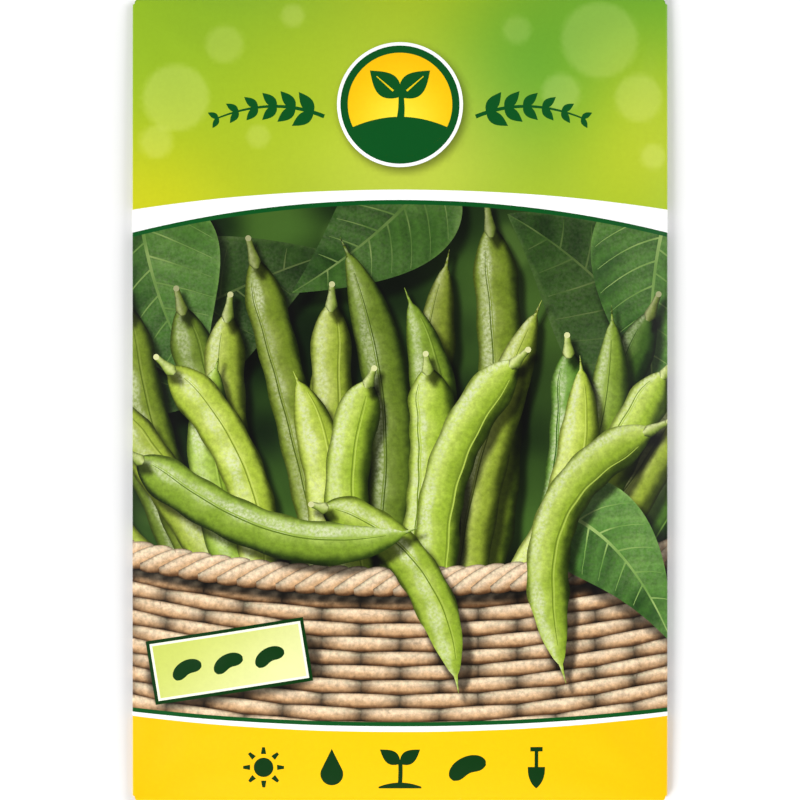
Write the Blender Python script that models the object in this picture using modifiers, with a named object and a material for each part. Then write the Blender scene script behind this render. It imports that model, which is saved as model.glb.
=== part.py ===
"""A filled paper seed packet that lies on its back, printed front up.

Units are metres and +Z is up. The origin is the middle of the packet's footprint, on the
surface that it lies on, and +Y points to the packet's top edge.

The packet is one sheet of paper. Its front panel goes round a fold at each long side into
two back panels, which overlap in a glued seam down the middle of the back. A flap at each
end of the front panel is folded over onto the back and glued. Loose beans lie inside.
"""

import math
import random

import bmesh
import bpy
from mathutils import Matrix, Vector

# The closed packet
PACKET_WIDTH = 0.110
PACKET_LENGTH = 0.165
PACKET_THICKNESS = 0.008

# The sheet of paper, and the gap that two glued layers keep
PAPER = 0.0002
GLUE_GAP = 0.00012
LAYER_STEP = PAPER + GLUE_GAP

# Seam and flaps
SEAM_WIDTH = 0.012
SEAM_RAMP = 0.005
FLAP_LENGTH = 0.014
FLAP_TAPER = 0.15
BACK_SHORT_OF_FOLD = 0.0004

# Folds: a side fold goes round one inner layer, an end fold round both back layers
SIDE_FOLD_RADIUS = LAYER_STEP
END_FOLD_RADIUS = 1.5 * LAYER_STEP
FRONT_HALF_WIDTH = PACKET_WIDTH / 2 - SIDE_FOLD_RADIUS - PAPER / 2
FRONT_HALF_LENGTH = PACKET_LENGTH / 2 - END_FOLD_RADIUS - PAPER / 2
COMMON_HALF_LENGTH = FRONT_HALF_LENGTH - BACK_SHORT_OF_FOLD

# How the packet lies: flat in the middle of the back, lifted a little towards the edges
FLAT_HALF_WIDTH = 0.040
FLAT_HALF_LENGTH = 0.050
END_LIFT = 0.00035
SIDE_FOLD_HEIGHT = 0.0018
SIDE_FULLNESS = 3.5
END_FULLNESS = 5.0

# Printed areas of the front, measured from the middle of the packet
PICTURE_TOP = 0.035
PICTURE_BOTTOM = -0.065
HEADER, PICTURE, BAND, PLAIN = range(4)

# The beans
SEED_COUNT = 44
SEED_LENGTH = 0.013
SEED_WIDTH = 0.0072
SEED_THICKNESS = 0.0052
SEED_BEND = 0.0014
SEED_BEND_CENTRE = 0.64
SEED_CLEARANCE = 0.0003
SEED_CORE_HALF_LENGTH = 0.0022
SEED_CORE_RADIUS = 0.00455
SEED_AREA_HALF_WIDTH = 0.038
SEED_AREA_BOTTOM = -0.066
SEED_AREA_TOP = 0.060
SEED_TRIES = 40000

# Edges that bend more than this are shaded as edges
SHARP_ANGLE = math.radians(40)

# Colours, in linear light
HEADER_GREEN = (0.40, 0.56, 0.06)
PICTURE_GREEN = (0.055, 0.12, 0.02)
BAND_YELLOW = (1.0, 0.68, 0.0)
PAPER_WHITE = (0.87, 0.86, 0.82)
SEED_CREAM = (0.80, 0.72, 0.55)


def make_material(name, colour, roughness):
    material = bpy.data.materials.new(name)
    material.use_nodes = True
    shader = material.node_tree.nodes["Principled BSDF"]
    shader.inputs["Base Color"].default_value = (*colour, 1.0)
    shader.inputs["Roughness"].default_value = roughness
    shader.inputs["Metallic"].default_value = 0.0
    material.diffuse_color = (*colour, 1.0)
    return material


def smooth_step(value):
    value = min(max(value, 0.0), 1.0)
    return value * value * (3.0 - 2.0 * value)


def back_height(x, y):
    """Height of the middle of the outer back layer above the surface."""
    share = (abs(y) - FLAT_HALF_LENGTH) / (FRONT_HALF_LENGTH - FLAT_HALF_LENGTH)
    middle = PAPER / 2 + (END_LIFT + LAYER_STEP) * smooth_step(share)
    beside = max(abs(x) - FLAT_HALF_WIDTH, 0.0) / (FRONT_HALF_WIDTH - FLAT_HALF_WIDTH)
    return middle + (side_fold_height(y) - SIDE_FOLD_RADIUS - middle) * beside**2


def side_fold_height(y):
    """Height of the centre of the side folds, which sink towards the packet's ends."""
    at_end = PAPER / 2 + END_LIFT + LAYER_STEP + SIDE_FOLD_RADIUS
    along = min(abs(y) / FRONT_HALF_LENGTH, 1.0)
    return at_end + (SIDE_FOLD_HEIGHT - at_end) * (1.0 - along**4)


def front_height(x, y):
    """Height of the middle of the front panel, a flat-topped pillow over the beans."""
    edge = side_fold_height(y) + SIDE_FOLD_RADIUS
    across = min(abs(x) / FRONT_HALF_WIDTH, 1.0)
    along = min(abs(y) / FRONT_HALF_LENGTH, 1.0)
    fullness = (1.0 - across**SIDE_FULLNESS) * (1.0 - along**END_FULLNESS)
    return edge + (PACKET_THICKNESS - PAPER / 2 - edge) * fullness


def seam_lift(x):
    """How far the inner layer of the seam stands above the outer one."""
    return LAYER_STEP * smooth_step((x + SEAM_WIDTH / 2 + SEAM_RAMP) / SEAM_RAMP)


def fold_side(u, y):
    """Place of a point of the blank at u across it, after the side folds are made."""
    side = math.copysign(1.0, u)
    past_front = abs(u) - FRONT_HALF_WIDTH
    if past_front <= 0.0:
        return Vector((u, y, front_height(u, y)))
    angle = past_front / SIDE_FOLD_RADIUS
    if angle < math.pi:
        x = side * (FRONT_HALF_WIDTH + SIDE_FOLD_RADIUS * math.sin(angle))
        return Vector((x, y, side_fold_height(y) + SIDE_FOLD_RADIUS * math.cos(angle)))
    along_back = past_front - math.pi * SIDE_FOLD_RADIUS
    x = side * (FRONT_HALF_WIDTH - along_back)
    height = back_height(x, y)
    if side < 0.0:
        height += seam_lift(x)
    return Vector((x, y, height))


def fold_end(u, v):
    """Place of a point of an end flap, which only the front panel has."""
    end = math.copysign(1.0, v)
    past_front = abs(v) - FRONT_HALF_LENGTH
    angle = past_front / END_FOLD_RADIUS
    if angle < math.pi:
        y = end * (FRONT_HALF_LENGTH + END_FOLD_RADIUS * math.sin(angle))
        centre = front_height(u, end * FRONT_HALF_LENGTH) - END_FOLD_RADIUS
        return Vector((u, y, centre + END_FOLD_RADIUS * math.cos(angle)))
    along_flap = past_front - math.pi * END_FOLD_RADIUS
    x = u * (1.0 - FLAP_TAPER * along_flap / FLAP_LENGTH)
    y = end * (FRONT_HALF_LENGTH - along_flap)
    return Vector((x, y, back_height(x, y) - LAYER_STEP))


def split(start, stop, cells):
    """The ends of equal cells from start to stop, without start itself."""
    return [start + (stop - start) * i / cells for i in range(1, cells + 1)]


def mirrored(half):
    return [-value for value in reversed(half)] + [0.0] + half


def lines_across():
    """Where the blank's lengthwise grid lines are, closer together where it bends."""
    front_cells = 9
    shares = [i / front_cells for i in range(1, front_cells + 1)]
    front = [FRONT_HALF_WIDTH * (s + math.sin(s * math.pi / 2)) / 2 for s in shares]
    fold_end_at = FRONT_HALF_WIDTH + math.pi * SIDE_FOLD_RADIUS
    half = front + split(FRONT_HALF_WIDTH, fold_end_at, 4)
    at_x = FRONT_HALF_WIDTH
    seam_edge = SEAM_WIDTH / 2
    for to_x, cells in (
        (FLAT_HALF_WIDTH, 4),
        (seam_edge + SEAM_RAMP, 2),
        (seam_edge, 3),
        (-seam_edge, 2),
    ):
        from_fold = fold_end_at + FRONT_HALF_WIDTH
        half += split(from_fold - at_x, from_fold - to_x, cells)
        at_x = to_x
    return mirrored(half)


def lines_along():
    """Where the blank's crosswise grid lines are, the flaps' ends included."""
    half = split(0.0, PICTURE_TOP, 4)
    half += split(PICTURE_TOP, FLAT_HALF_LENGTH, 2)
    half += split(FLAT_HALF_LENGTH, -PICTURE_BOTTOM, 3)
    half += split(-PICTURE_BOTTOM, COMMON_HALF_LENGTH, 4)
    half += [FRONT_HALF_LENGTH]
    fold_end_at = FRONT_HALF_LENGTH + math.pi * END_FOLD_RADIUS
    half += split(FRONT_HALF_LENGTH, fold_end_at, 4)
    half += split(fold_end_at, fold_end_at + FLAP_LENGTH, 3)
    return mirrored(half)


def printed_area(u, v):
    """Index of the material of a face of the blank whose middle is at u, v."""
    if abs(u) > FRONT_HALF_WIDTH + math.pi * SIDE_FOLD_RADIUS:
        return PLAIN
    if v > PICTURE_TOP:
        return HEADER
    if v > PICTURE_BOTTOM:
        return PICTURE
    return BAND


def make_packet(collection, materials):
    across = lines_across()
    along = lines_along()
    blank = bmesh.new()
    bmesh.ops.create_grid(
        blank, x_segments=len(across) - 1, y_segments=len(along) - 1, size=0.5
    )
    for vert in blank.verts:
        column = round((vert.co.x + 0.5) * (len(across) - 1))
        row = round((vert.co.y + 0.5) * (len(along) - 1))
        vert.co = (across[column], along[row], 0.0)

    cut_away = []
    for face in blank.faces:
        u, v, _ = face.calc_center_median()
        if abs(v) > COMMON_HALF_LENGTH and abs(u) > FRONT_HALF_WIDTH:
            cut_away.append(face)
        else:
            face.material_index = printed_area(u, v)
    bmesh.ops.delete(blank, geom=cut_away, context="FACES")
    bmesh.ops.triangulate(blank, faces=blank.faces[:])

    for vert in blank.verts:
        u, v, _ = vert.co
        if abs(v) > FRONT_HALF_LENGTH:
            vert.co = fold_end(u, v)
        else:
            vert.co = fold_side(u, v)
    for face in blank.faces:
        face.smooth = True

    mesh = bpy.data.meshes.new("paper_packet")
    blank.to_mesh(mesh)
    blank.free()
    for material in materials:
        mesh.materials.append(material)
    mesh.set_sharp_from_angle(angle=SHARP_ANGLE)

    packet = bpy.data.objects.new("paper_packet", mesh)
    collection.objects.link(packet)
    wall = packet.modifiers.new("paper thickness", "SOLIDIFY")
    wall.thickness = PAPER
    wall.offset = 0.0
    wall.material_offset = len(materials) - 1
    return packet


def make_seed_mesh(material):
    """A kidney-shaped bean, lying on its flat side, with its eye on the hollow edge."""
    bean = bmesh.new()
    bmesh.ops.create_uvsphere(bean, u_segments=10, v_segments=6, radius=0.5)
    bmesh.ops.rotate(
        bean, verts=bean.verts, cent=(0, 0, 0), matrix=Matrix.Rotation(math.pi / 2, 3, "Y")
    )
    for vert in bean.verts:
        x = vert.co.x * SEED_LENGTH
        in_middle = 1.0 - (2.0 * vert.co.x) ** 2
        y = vert.co.y * SEED_WIDTH + SEED_BEND * (in_middle - SEED_BEND_CENTRE)
        vert.co = (x, y, vert.co.z * SEED_THICKNESS)
    bmesh.ops.recalc_face_normals(bean, faces=bean.faces)
    for face in bean.faces:
        face.smooth = True
    mesh = bpy.data.meshes.new("bean_seed")
    bean.to_mesh(mesh)
    bean.free()
    mesh.materials.append(material)
    return mesh


def distance_to_core(point, centre, direction):
    """Distance in plan from a point to the line that a bean is thickened from."""
    offset = point - centre
    along = max(-SEED_CORE_HALF_LENGTH, min(offset.dot(direction), SEED_CORE_HALF_LENGTH))
    return (offset - direction * along).length


def cores_are_apart(first, second):
    apart = 2 * SEED_CORE_RADIUS
    if (first[0] - second[0]).length > apart + 2 * SEED_CORE_HALF_LENGTH:
        return True
    for one, other in ((first, second), (second, first)):
        for share in (-1.0, -0.5, 0.0, 0.5, 1.0):
            point = one[0] + one[1] * SEED_CORE_HALF_LENGTH * share
            if distance_to_core(point, *other) < apart:
                return False
    return True


def seam_lift_inside(x):
    """Extra height of the inside of the back, up to the end of the seam's inner layer."""
    return seam_lift(x) if x < SEAM_WIDTH / 2 + SEED_CLEARANCE else 0.0


def seat_height(mesh, turn, centre):
    """Height at which a bean clears the back, or None where the front is too low."""
    corners = []
    for vert in mesh.vertices:
        corners.append(turn @ vert.co + Vector((centre.x, centre.y, 0.0)))
    inner_back = PAPER / 2 + SEED_CLEARANCE
    height = max(
        back_height(p.x, p.y) + seam_lift_inside(p.x) + inner_back - p.z for p in corners
    )
    for p in corners:
        if p.z + height > front_height(p.x, p.y) - inner_back:
            return None
    return height


def scatter_seeds(mesh):
    """Places of the beans: thrown in at random, kept where they touch no other."""
    chance = random.Random(11)
    cores = []
    places = []
    for _ in range(SEED_TRIES):
        if len(places) == SEED_COUNT:
            break
        x = chance.uniform(-SEED_AREA_HALF_WIDTH, SEED_AREA_HALF_WIDTH)
        y = chance.triangular(SEED_AREA_BOTTOM, SEED_AREA_TOP, SEED_AREA_BOTTOM)
        angle = chance.uniform(0.0, 2.0 * math.pi)
        centre = Vector((x, y))
        core = (centre, Vector((math.cos(angle), math.sin(angle))))
        if not all(cores_are_apart(core, other) for other in cores):
            continue
        height = seat_height(mesh, Matrix.Rotation(angle, 3, "Z"), centre)
        if height is None:
            continue
        cores.append(core)
        places.append((x, y, height, angle))
    return places


def make_seeds(collection, material):
    mesh = make_seed_mesh(material)
    seeds = []
    for number, (x, y, height, angle) in enumerate(scatter_seeds(mesh), start=1):
        seed = bpy.data.objects.new(f"bean_seed_{number:02d}", mesh)
        collection.objects.link(seed)
        seed.location = (x, y, height)
        seed.rotation_euler = (0.0, 0.0, angle)
        seeds.append(seed)
    return seeds


def main():
    for old in list(bpy.data.objects):
        bpy.data.objects.remove(old)
    collection = bpy.data.collections.new("Seed packet")
    bpy.context.scene.collection.children.link(collection)

    printed = [
        make_material("Printed header", HEADER_GREEN, 0.45),
        make_material("Printed picture", PICTURE_GREEN, 0.45),
        make_material("Printed band", BAND_YELLOW, 0.45),
        make_material("Plain paper", PAPER_WHITE, 0.7),
    ]
    packet = make_packet(collection, printed)
    seeds = make_seeds(collection, make_material("Dry bean", SEED_CREAM, 0.5))

    origin = bpy.data.objects.new("Seed packet origin", None)
    collection.objects.link(origin)
    for piece in [packet, *seeds]:
        piece.parent = origin


main()
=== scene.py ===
"""A filled paper seed packet on its back: a folded, printed sheet with loose beans inside."""

import math
import random

import bpy
import numpy as np
from mathutils.geometry import delaunay_2d_cdt
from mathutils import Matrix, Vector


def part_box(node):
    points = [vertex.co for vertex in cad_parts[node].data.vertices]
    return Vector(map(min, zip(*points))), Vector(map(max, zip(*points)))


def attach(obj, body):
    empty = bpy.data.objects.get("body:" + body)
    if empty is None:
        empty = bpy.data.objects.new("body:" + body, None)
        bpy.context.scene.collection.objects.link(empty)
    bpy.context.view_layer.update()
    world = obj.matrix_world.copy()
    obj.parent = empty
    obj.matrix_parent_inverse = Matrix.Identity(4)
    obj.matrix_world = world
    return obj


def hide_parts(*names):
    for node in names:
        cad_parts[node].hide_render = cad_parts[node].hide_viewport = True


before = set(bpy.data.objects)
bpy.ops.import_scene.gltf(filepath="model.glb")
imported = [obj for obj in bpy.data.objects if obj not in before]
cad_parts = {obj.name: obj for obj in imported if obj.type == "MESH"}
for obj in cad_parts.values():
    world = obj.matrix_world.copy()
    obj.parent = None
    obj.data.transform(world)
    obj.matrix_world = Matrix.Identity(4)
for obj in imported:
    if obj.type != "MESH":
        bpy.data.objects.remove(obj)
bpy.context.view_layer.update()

# Paper packet, the folded sheet
# The real bag is one sheet of coated paper. Its front goes round a fold at each side into
# two back panels, glued in a seam, and a flap at each end is folded over onto the back.
packet_low, packet_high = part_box("paper_packet")
PACKET_WIDTH = packet_high.x - packet_low.x
PACKET_LENGTH = packet_high.y - packet_low.y
PACKET_THICKNESS = packet_high.z
PAPER = 0.0002
LAYER_STEP = 0.00032
SEAM_HALF = 0.006
SEAM_RAMP = 0.005
FLAP = 0.014
FLAP_TAPER = 0.15
BACK_SHORT_OF_FOLD = 0.0004
SIDE_RADIUS = LAYER_STEP
END_RADIUS = 1.5 * LAYER_STEP

# Half sizes: the front, the back, where the folds end and the flat sheet
FRONT_X = PACKET_WIDTH / 2 - SIDE_RADIUS - PAPER / 2
FRONT_Y = PACKET_LENGTH / 2 - END_RADIUS - PAPER / 2
BACK_Y = FRONT_Y - BACK_SHORT_OF_FOLD
SIDE_TURN = FRONT_X + math.pi * SIDE_RADIUS
END_TURN = FRONT_Y + math.pi * END_RADIUS
SHEET_X = SIDE_TURN + FRONT_X + SEAM_HALF
SHEET_Y = END_TURN + FLAP

# The filled shape, with low bumps over the beans and creases at the corners
LIES_FLAT_X = 0.040
LIES_FLAT_Y = 0.050
END_LIFT = 0.00035
SIDE_HEIGHT = 0.0018
SIDE_FULLNESS = 3.5
END_FULLNESS = 5
BUMP_HEIGHT = 0.00080
BUMP_SPREAD = 0.0046
CREASE_HEIGHT = 0.00018
CREASE_REACH = 0.016
CREASE_WIDTH = 0.6 * CREASE_REACH
CREASE_FAN = 9.0
beans_in_frame = sorted(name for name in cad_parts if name.startswith("bean_seed_"))
bean_boxes = [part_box(name) for name in beans_in_frame]
bean_middles = np.array([((low + high) / 2)[:2] for low, high in bean_boxes])


def ease(share):
    """A soft step from 0 to 1."""
    share = np.clip(share, 0.0, 1.0)
    return share * share * (3.0 - 2.0 * share)


def side_fold_height(y):
    """The height of the side folds, which the beans lift most at half the packet's length."""
    at_end = PAPER / 2 + END_LIFT + LAYER_STEP + SIDE_RADIUS
    return at_end + (SIDE_HEIGHT - at_end) * (1.0 - np.clip(abs(y) / FRONT_Y, 0, 1) ** 4)


def back_height(x, y):
    """The back lies flat in its middle and rises to the folds."""
    middle = ease((abs(y) - LIES_FLAT_Y) / (FRONT_Y - LIES_FLAT_Y))
    middle = PAPER / 2 + (END_LIFT + LAYER_STEP) * middle
    beside = np.clip((abs(x) - LIES_FLAT_X) / (FRONT_X - LIES_FLAT_X), 0, 1) ** 2
    return middle + (side_fold_height(y) - SIDE_RADIUS - middle) * beside


def corner_creases(x, y):
    """Soft folds that fan in from the corners, where the filled packet pulls the paper."""
    in_x, in_y = FRONT_X - abs(x), FRONT_Y - abs(y)
    corner_turn = 0.6 * np.sign(x) + 1.1 * np.sign(y)
    fan = np.cos(CREASE_FAN * np.arctan2(in_y, in_x) + corner_turn)
    return fan * np.exp(-(((np.hypot(in_x, in_y) - CREASE_REACH) / CREASE_WIDTH) ** 2))


def front_height(x, y):
    """The front is a flat-topped pillow, raised a little over each bean."""
    edge = side_fold_height(y) + SIDE_RADIUS
    across = np.clip(abs(x) / FRONT_X, 0, 1)
    along = np.clip(abs(y) / FRONT_Y, 0, 1)
    fullness = (1.0 - across**SIDE_FULLNESS) * (1.0 - along**END_FULLNESS)
    from_x = x[:, None] - bean_middles[:, 0]
    from_y = y[:, None] - bean_middles[:, 1]
    bumps = np.exp(-(from_x**2 + from_y**2) / (2 * BUMP_SPREAD**2)).sum(axis=1)
    level = PACKET_THICKNESS - PAPER / 2 - BUMP_HEIGHT
    creases = 4 * CREASE_HEIGHT * fullness * (1 - fullness) * corner_creases(x, y)
    return edge + (level - edge) * fullness + BUMP_HEIGHT * bumps * fullness**0.5 + creases


def fold(u, v):
    """Where each point u, v of the flat sheet comes to lie in the folded packet."""
    side, end = np.sign(u), np.sign(v)
    past_side = abs(u) - FRONT_X
    past_end = abs(v) - FRONT_Y
    x, y = u.copy(), v.copy()
    z = front_height(u, np.clip(v, -FRONT_Y, FRONT_Y))

    turn = past_side / SIDE_RADIUS
    at = (past_side > 0) & (turn < math.pi)
    x[at] = (side * (FRONT_X + SIDE_RADIUS * np.sin(turn)))[at]
    z[at] = (side_fold_height(v) + SIDE_RADIUS * np.cos(turn))[at]
    at = turn >= math.pi
    x[at] = (side * (2 * FRONT_X - abs(u) + math.pi * SIDE_RADIUS))[at]
    inner = LAYER_STEP * ease((x + SEAM_HALF + SEAM_RAMP) / SEAM_RAMP) * (side < 0)
    z[at] = (back_height(x, v) + inner)[at]

    turn = past_end / END_RADIUS
    at = (past_end > 0) & (turn < math.pi)
    y[at] = (end * (FRONT_Y + END_RADIUS * np.sin(turn)))[at]
    z[at] += (END_RADIUS * (np.cos(turn) - 1.0))[at]
    at = turn >= math.pi
    x[at] = (u * (1.0 - FLAP_TAPER * (abs(v) - END_TURN) / FLAP))[at]
    y[at] = (end * (FRONT_Y + END_TURN - abs(v)))[at]
    z[at] = (back_height(x, y) - LAYER_STEP)[at]
    return np.c_[x, y, z]


def facing(u, v):
    """The outward direction of the sheet, the side that is printed."""
    nudge = 2e-5
    along_u = fold(u + nudge, v) - fold(u - nudge, v)
    along_v = fold(u, v + nudge) - fold(u, v - nudge)
    normal = np.cross(along_u, along_v)
    return normal / np.linalg.norm(normal, axis=1)[:, None]


# Print on the packet, the tools for drawing it
# The print is flat ink in many colours. Each shape is an outline on the flat sheet, in
# millimetres, and a rule that gives the ink's colour at each point inside it.
MM = 1000.0
ROUND_THE_FOLD = 1.4
BLEED_MM = SIDE_TURN * MM + ROUND_THE_FOLD
OUTLINE_STEP = 1.2
sheet_shapes = []
sheet_points = []


def ink(red, green, blue):
    """A colour given as on a screen, 0 to 255."""
    return np.array([red, green, blue]) / 255.0


def mixed(low, high, share):
    """Colours between low and high, one for each share."""
    return low + (high - low) * np.asarray(share)[..., None]


def grain(x, y, size, seed):
    """Smooth random patches of the given size, from 0 to 1."""
    table = np.random.default_rng(seed).random((64, 64))
    gx, gy = x / size + 1000.0, y / size + 1000.0
    ix, iy = np.floor(gx).astype(int), np.floor(gy).astype(int)
    fx, fy = ease(gx - ix), ease(gy - iy)
    low = table[ix % 64, iy % 64] * (1 - fx) + table[(ix + 1) % 64, iy % 64] * fx
    high = table[ix % 64, (iy + 1) % 64] * (1 - fx)
    high += table[(ix + 1) % 64, (iy + 1) % 64] * fx
    return low * (1 - fy) + high * fy


def draw(outline, paint, shade=None, points=None):
    """Lays a shape over those drawn before it, with points all along its outline."""
    outline = np.asarray(outline, float)
    closed = []
    for start, end in zip(outline, np.roll(outline, -1, axis=0)):
        steps = int(np.hypot(*(end - start)) / OUTLINE_STEP) + 1
        closed += [start + (end - start) * step / steps for step in range(steps)]
    if points is not None:
        sheet_points.append((np.asarray(points, float), len(sheet_shapes)))
    sheet_shapes.append((np.array(closed), paint, shade))


def flat(colour):
    """One ink all over the shape."""
    return lambda x, y: np.tile(colour, (len(x), 1))


def curve(*controls, count=40):
    """Points of the smooth curve that a few control points pull on."""
    share = np.linspace(0, 1, count)[:, None]
    rows = [np.array(p, float) * np.ones_like(share) for p in controls]
    while len(rows) > 1:
        rows = [a + (b - a) * share for a, b in zip(rows, rows[1:])]
    return rows[0]


def ring(x, y, radius, count):
    angle = np.linspace(0, 2 * math.pi, count, endpoint=False)
    return np.c_[x + radius * np.cos(angle), y + radius * np.sin(angle)]


def oblong(low_x, low_y, high_x, high_y):
    return [(low_x, low_y), (high_x, low_y), (high_x, high_y), (low_x, high_y)]


def turned(points, angle):
    cos, sin = math.cos(angle), math.sin(angle)
    return points @ np.array([(cos, sin), (-sin, cos)])


def beside(line, offset):
    """The line moved sideways, to its left where offset is positive."""
    step = np.gradient(line, axis=0)
    step /= np.hypot(*step.T)[:, None]
    return line + np.c_[-step[:, 1], step[:, 0]] * np.asarray(offset).reshape(-1, 1)


def ribbon(line, half):
    """The outline of a band that reaches as far as half to either side of a line."""
    half = np.broadcast_to(half, len(line))
    return np.vstack([beside(line, half), beside(line, -half)[::-1]])


def along_and_across(line, x, y):
    """How far along a line each point is, from 0 to 1, and how far to its left."""
    start, step = line[:-1], np.diff(line, axis=0)
    length = np.hypot(*step.T)
    run = np.concatenate([[0.0], np.cumsum(length)])
    dx, dy = x[:, None] - start[:, 0], y[:, None] - start[:, 1]
    share = np.clip((dx * step[:, 0] + dy * step[:, 1]) / length**2, 0, 1)
    off_x, off_y = dx - share * step[:, 0], dy - share * step[:, 1]
    near = np.argmin(off_x**2 + off_y**2, axis=1)
    pick = np.arange(len(x)), near
    side = step[near, 0] * off_y[pick] - step[near, 1] * off_x[pick]
    along = (run[near] + share[pick] * length[near]) / run[-1]
    return along, np.copysign(np.hypot(off_x[pick], off_y[pick]), side)


# Where the light in the picture comes from, and how far it throws a strand's shadow
LIGHT = np.array([-0.459, 0.549, 0.698])
SHADOW_FALLS = np.array([1.3, -1.7])


def tube_light(line, along, across, swell, beads):
    """Light on a round strand, and the share of the most that it can have at this slant."""
    place = np.clip(along, 0, 1) * (len(line) - 1)
    step = np.gradient(line, axis=0)
    step /= np.hypot(*step.T)[:, None]
    number = np.arange(len(line))
    dx, dy = np.interp(place, number, step[:, 0]), np.interp(place, number, step[:, 1])
    bead = 2 * math.pi * beads * along
    tilt = across + swell * 0.5 * across * np.cos(bead)
    tilt = np.clip(tilt, -0.98, 0.98)
    lean = swell * np.sin(bead) * np.exp(-((across / 0.7) ** 2))
    ahead = dx * LIGHT[0] + dy * LIGHT[1]
    smooth = (dx * LIGHT[1] - dy * LIGHT[0]) * tilt + LIGHT[2] * np.sqrt(1 - tilt**2)
    light = (smooth + ahead * lean) / np.sqrt(1 + lean**2)
    return light, (smooth + 0.25 * ahead * lean) / np.sqrt(1 - ahead**2)


def shadow_of(line, half, depth=0.6, soft=1.5, fall=1.0):
    """How much light a strand or leaf takes from what lies under it."""

    def shade(x, y):
        along, across = along_and_across(
            line, x - SHADOW_FALLS[0] * fall, y - SHADOW_FALLS[1] * fall
        )
        width = np.interp(along, np.linspace(0, 1, len(line)), half)
        return 1.0 - depth * ease((width - abs(across) + soft * 0.6) / soft)

    return shade


def strip_between(low, high):
    """The area across the front between two curves, given as heights over x."""
    x = np.linspace(-BLEED_MM, BLEED_MM, 41)
    return np.vstack([np.c_[x, low(x)], np.c_[x, high(x)][::-1]])


def draw_strand(
    line, half, colours, beads=0, swell=0.0, shine=0.5, seed=1, dim=1.0, grit=0.6, ends=0.0
):
    """A stem, a pod or a willow rod: a round strand that is lit from the upper left."""
    half = np.broadcast_to(np.asarray(half, float), len(line))
    dark, middle, pale = colours

    def paint(x, y):
        along, across = along_and_across(line, x, y)
        width = np.interp(along, np.linspace(0, 1, len(line)), half)
        across = np.clip(across / np.maximum(width, 0.05), -1, 1)
        light, share = tube_light(line, along, across, swell, beads)
        mottle = grain(x, y, 1.3, seed) - 0.5
        mottle += 0.9 * (grain(x, y, 5.5, seed + 1) - 0.5)
        tone = 0.55 * np.clip(light, 0, 1) + 0.45 * np.clip(share, 0, 1) + 0.12 * mottle
        colour = mixed(dark, middle, ease((tone + 0.08) / 0.62))
        colour = mixed(colour, pale, ease((tone - 0.52) / 0.50))
        gleam = ease((share - 0.92) / 0.08)
        gleam *= shine * (0.20 + 0.80 * grain(x, y, 7.0, seed + 2))
        rim = ease((abs(across) - 0.78) / 0.22)
        level = dim * (1.0 - 0.42 * rim) * (1.0 - ends * (2.0 * along - 1.0) ** 4)
        return np.c_[colour * level[:, None], np.full(len(x), grit), gleam * level]

    steps = [-0.86, -0.66, -0.42, -0.15, 0.12, 0.38, 0.62, 0.84]
    if half.max() < 2.0:
        steps = [-0.6, 0.0, 0.5]
    points = np.vstack([beside(line, half * step) for step in steps])
    draw(ribbon(line, half), paint, shadow_of(line, half), points)


# Picture on the front: a dim garden, with leaves and a heap of bean pods
# It is printed from the top arch to the bottom band and runs round both side folds. The
# leaves and pods are a plain garden motif, lit from the upper left.
PICTURE_FOOT, PICTURE_HEAD = -84.0, 50.0


def garden(x, y):
    """Dark green depth, with soft leaves out of focus."""
    depth = 0.5 * grain(x, y, 26, 3) + 0.3 * grain(x, y, 13, 4) + 0.2 * grain(x, y, 7, 5)
    light = ease((depth - 0.28) / 0.5)
    colour = mixed(ink(17, 30, 14), ink(66, 98, 38), light)
    glow = np.exp(-(((x - 38) / 30) ** 2 + ((y - 18) / 30) ** 2))
    colour = mixed(colour, ink(96, 132, 52), 0.45 * glow)
    for cx, cy, radius, strength in (
        (-47, 24, 7, 0.20), (-12, 33, 5, 0.16), (49, 28, 8, 0.22), (22, 31, 6, 0.16),
        (44, -12, 6, 0.16), (-50, -20, 7, 0.12), (51, -44, 6, 0.12), (2, -60, 7, 0.08),
    ):
        spot = ease((radius - np.hypot(x - cx, y - cy)) / 2.2)
        colour = mixed(colour, ink(150, 186, 86), strength * spot)
    return colour


draw(oblong(-BLEED_MM, PICTURE_FOOT, BLEED_MM, PICTURE_HEAD), garden)


def leaf_half(along, width):
    """Half the width of a bean leaflet: broad near its base, with a drawn-out tip."""
    body = np.sin(math.pi * along**0.62) ** 0.85
    return width * np.clip(body, 0, 1) * (1 - 0.25 * along**3) + 0.05


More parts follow.
